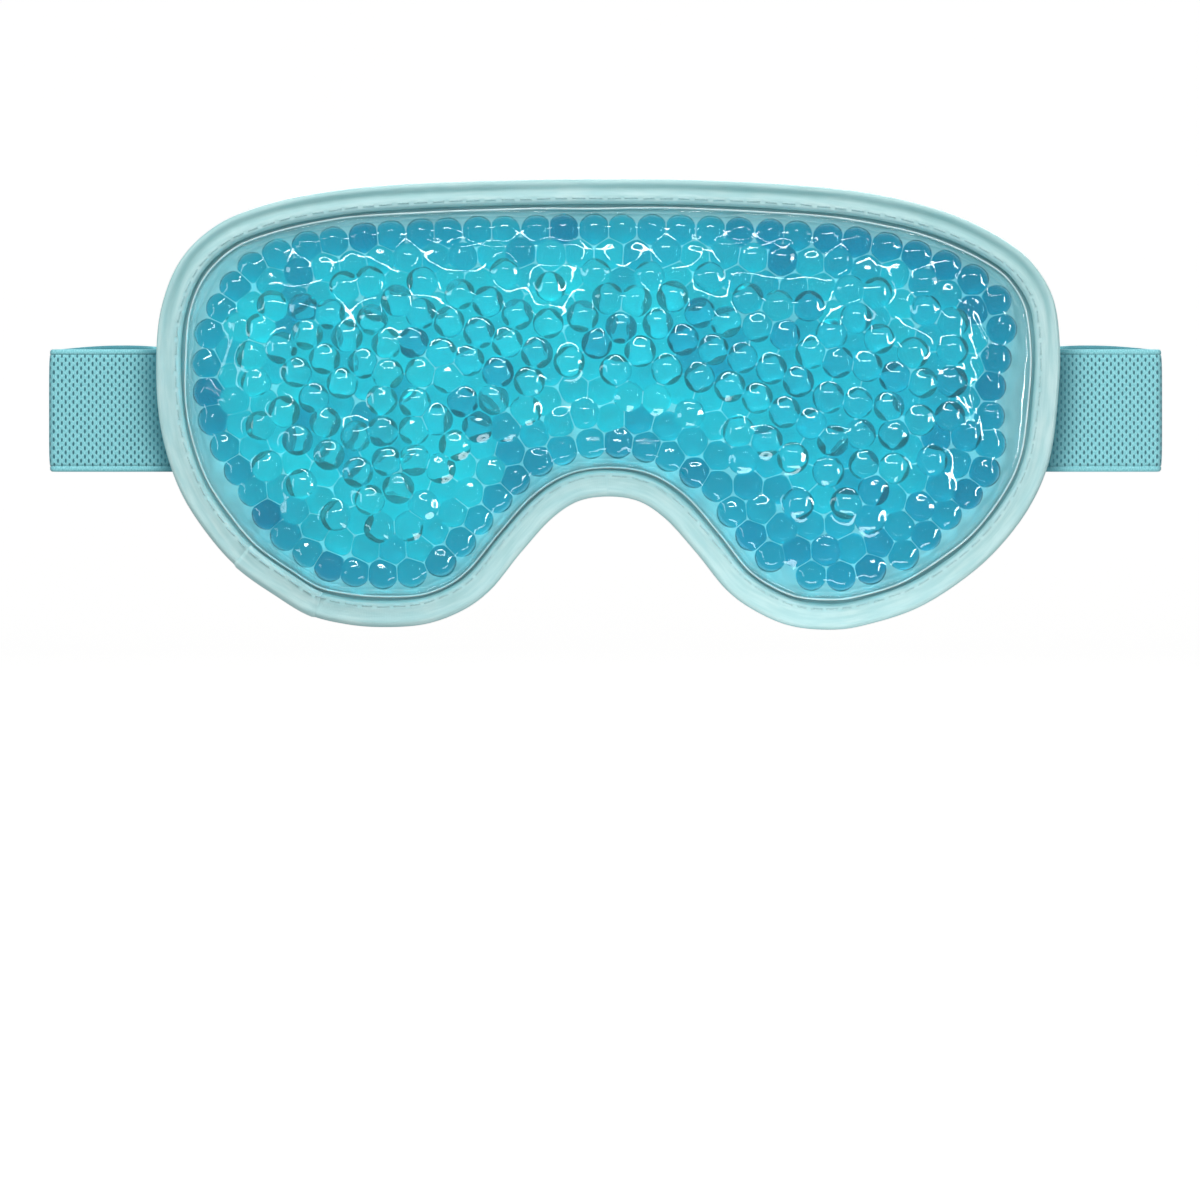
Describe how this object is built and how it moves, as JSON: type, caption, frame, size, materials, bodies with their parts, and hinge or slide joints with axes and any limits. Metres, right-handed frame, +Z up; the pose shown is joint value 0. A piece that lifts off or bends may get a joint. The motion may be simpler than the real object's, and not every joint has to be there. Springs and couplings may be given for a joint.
{
  "type": "eye pillow",
  "caption": "Bead-filled cooling eye pillow with a nose notch: clear front film, fabric back, bound edge and wide elastic straps that fasten behind the head.",
  "frame": {"origin": "middle of the nose bridge width at mid height, on the plane of the binding's back, where the pillow rests on the face", "axes": "+X along the width, to the right as seen from the bead side; +Y away from the beads, towards the face; +Z up to the forehead"},
  "size_m": [0.2734, 0.0218, 0.1098],
  "materials": {
    "plush_fabric": "soft brushed satin knit",
    "backing_film": "translucent film, satin",
    "gel_beads": "clear wet gel, glossy",
    "clear_film": "clear soft film, high gloss",
    "satin_tape": "satin binding tape",
    "thread": "matte thread",
    "knit_elastic": "knitted elastic, matte",
    "hook_tape": "moulded hooks",
    "loop_tape": "brushed loop pile"
  },
  "bodies": {
    "left_half": {"fabric_panel_left": "plush_fabric", "back_film_left": "backing_film", "bead_fill_left": "gel_beads", "window_film_left": "clear_film", "binding_left": "satin_tape", "needle_thread_left": "thread", "bobbin_thread_left": "thread", "strap_root_left": "knit_elastic", "strap_seam_left": "thread", "binding_join": "satin_tape"},
    "right_half": {"fabric_panel_right": "plush_fabric", "back_film_right": "backing_film", "bead_fill_right": "gel_beads", "window_film_right": "clear_film", "binding_right": "satin_tape", "needle_thread_right": "thread", "bobbin_thread_right": "thread", "strap_root_right": "knit_elastic", "strap_seam_right": "thread"},
    "left_strap": {"strap_tail_left": "knit_elastic", "hook_patch": "hook_tape", "hook_patch_thread": "thread"},
    "right_strap": {"strap_tail_right": "knit_elastic", "loop_patch": "loop_tape", "loop_patch_thread": "thread"}
  },
  "joints": [
    {"name": "bridge_fold", "type": "hinge", "parent": "left_half", "child": "right_half", "pos_m": [0, -0.0148, 0.0165], "axis": [0, 0, 1], "range_deg": [-160, 50]},
    {"name": "left_strap_fold", "type": "hinge", "parent": "left_half", "child": "left_strap", "pos_m": [-0.1352, 0.0031, -0.001], "axis": [0, 0, 1], "range_deg": [0, 180]},
    {"name": "right_strap_fold", "type": "hinge", "parent": "right_half", "child": "right_strap", "pos_m": [0.1338, 0.0031, -0.001], "axis": [0, 0, -1], "range_deg": [0, 180]}
  ]
}
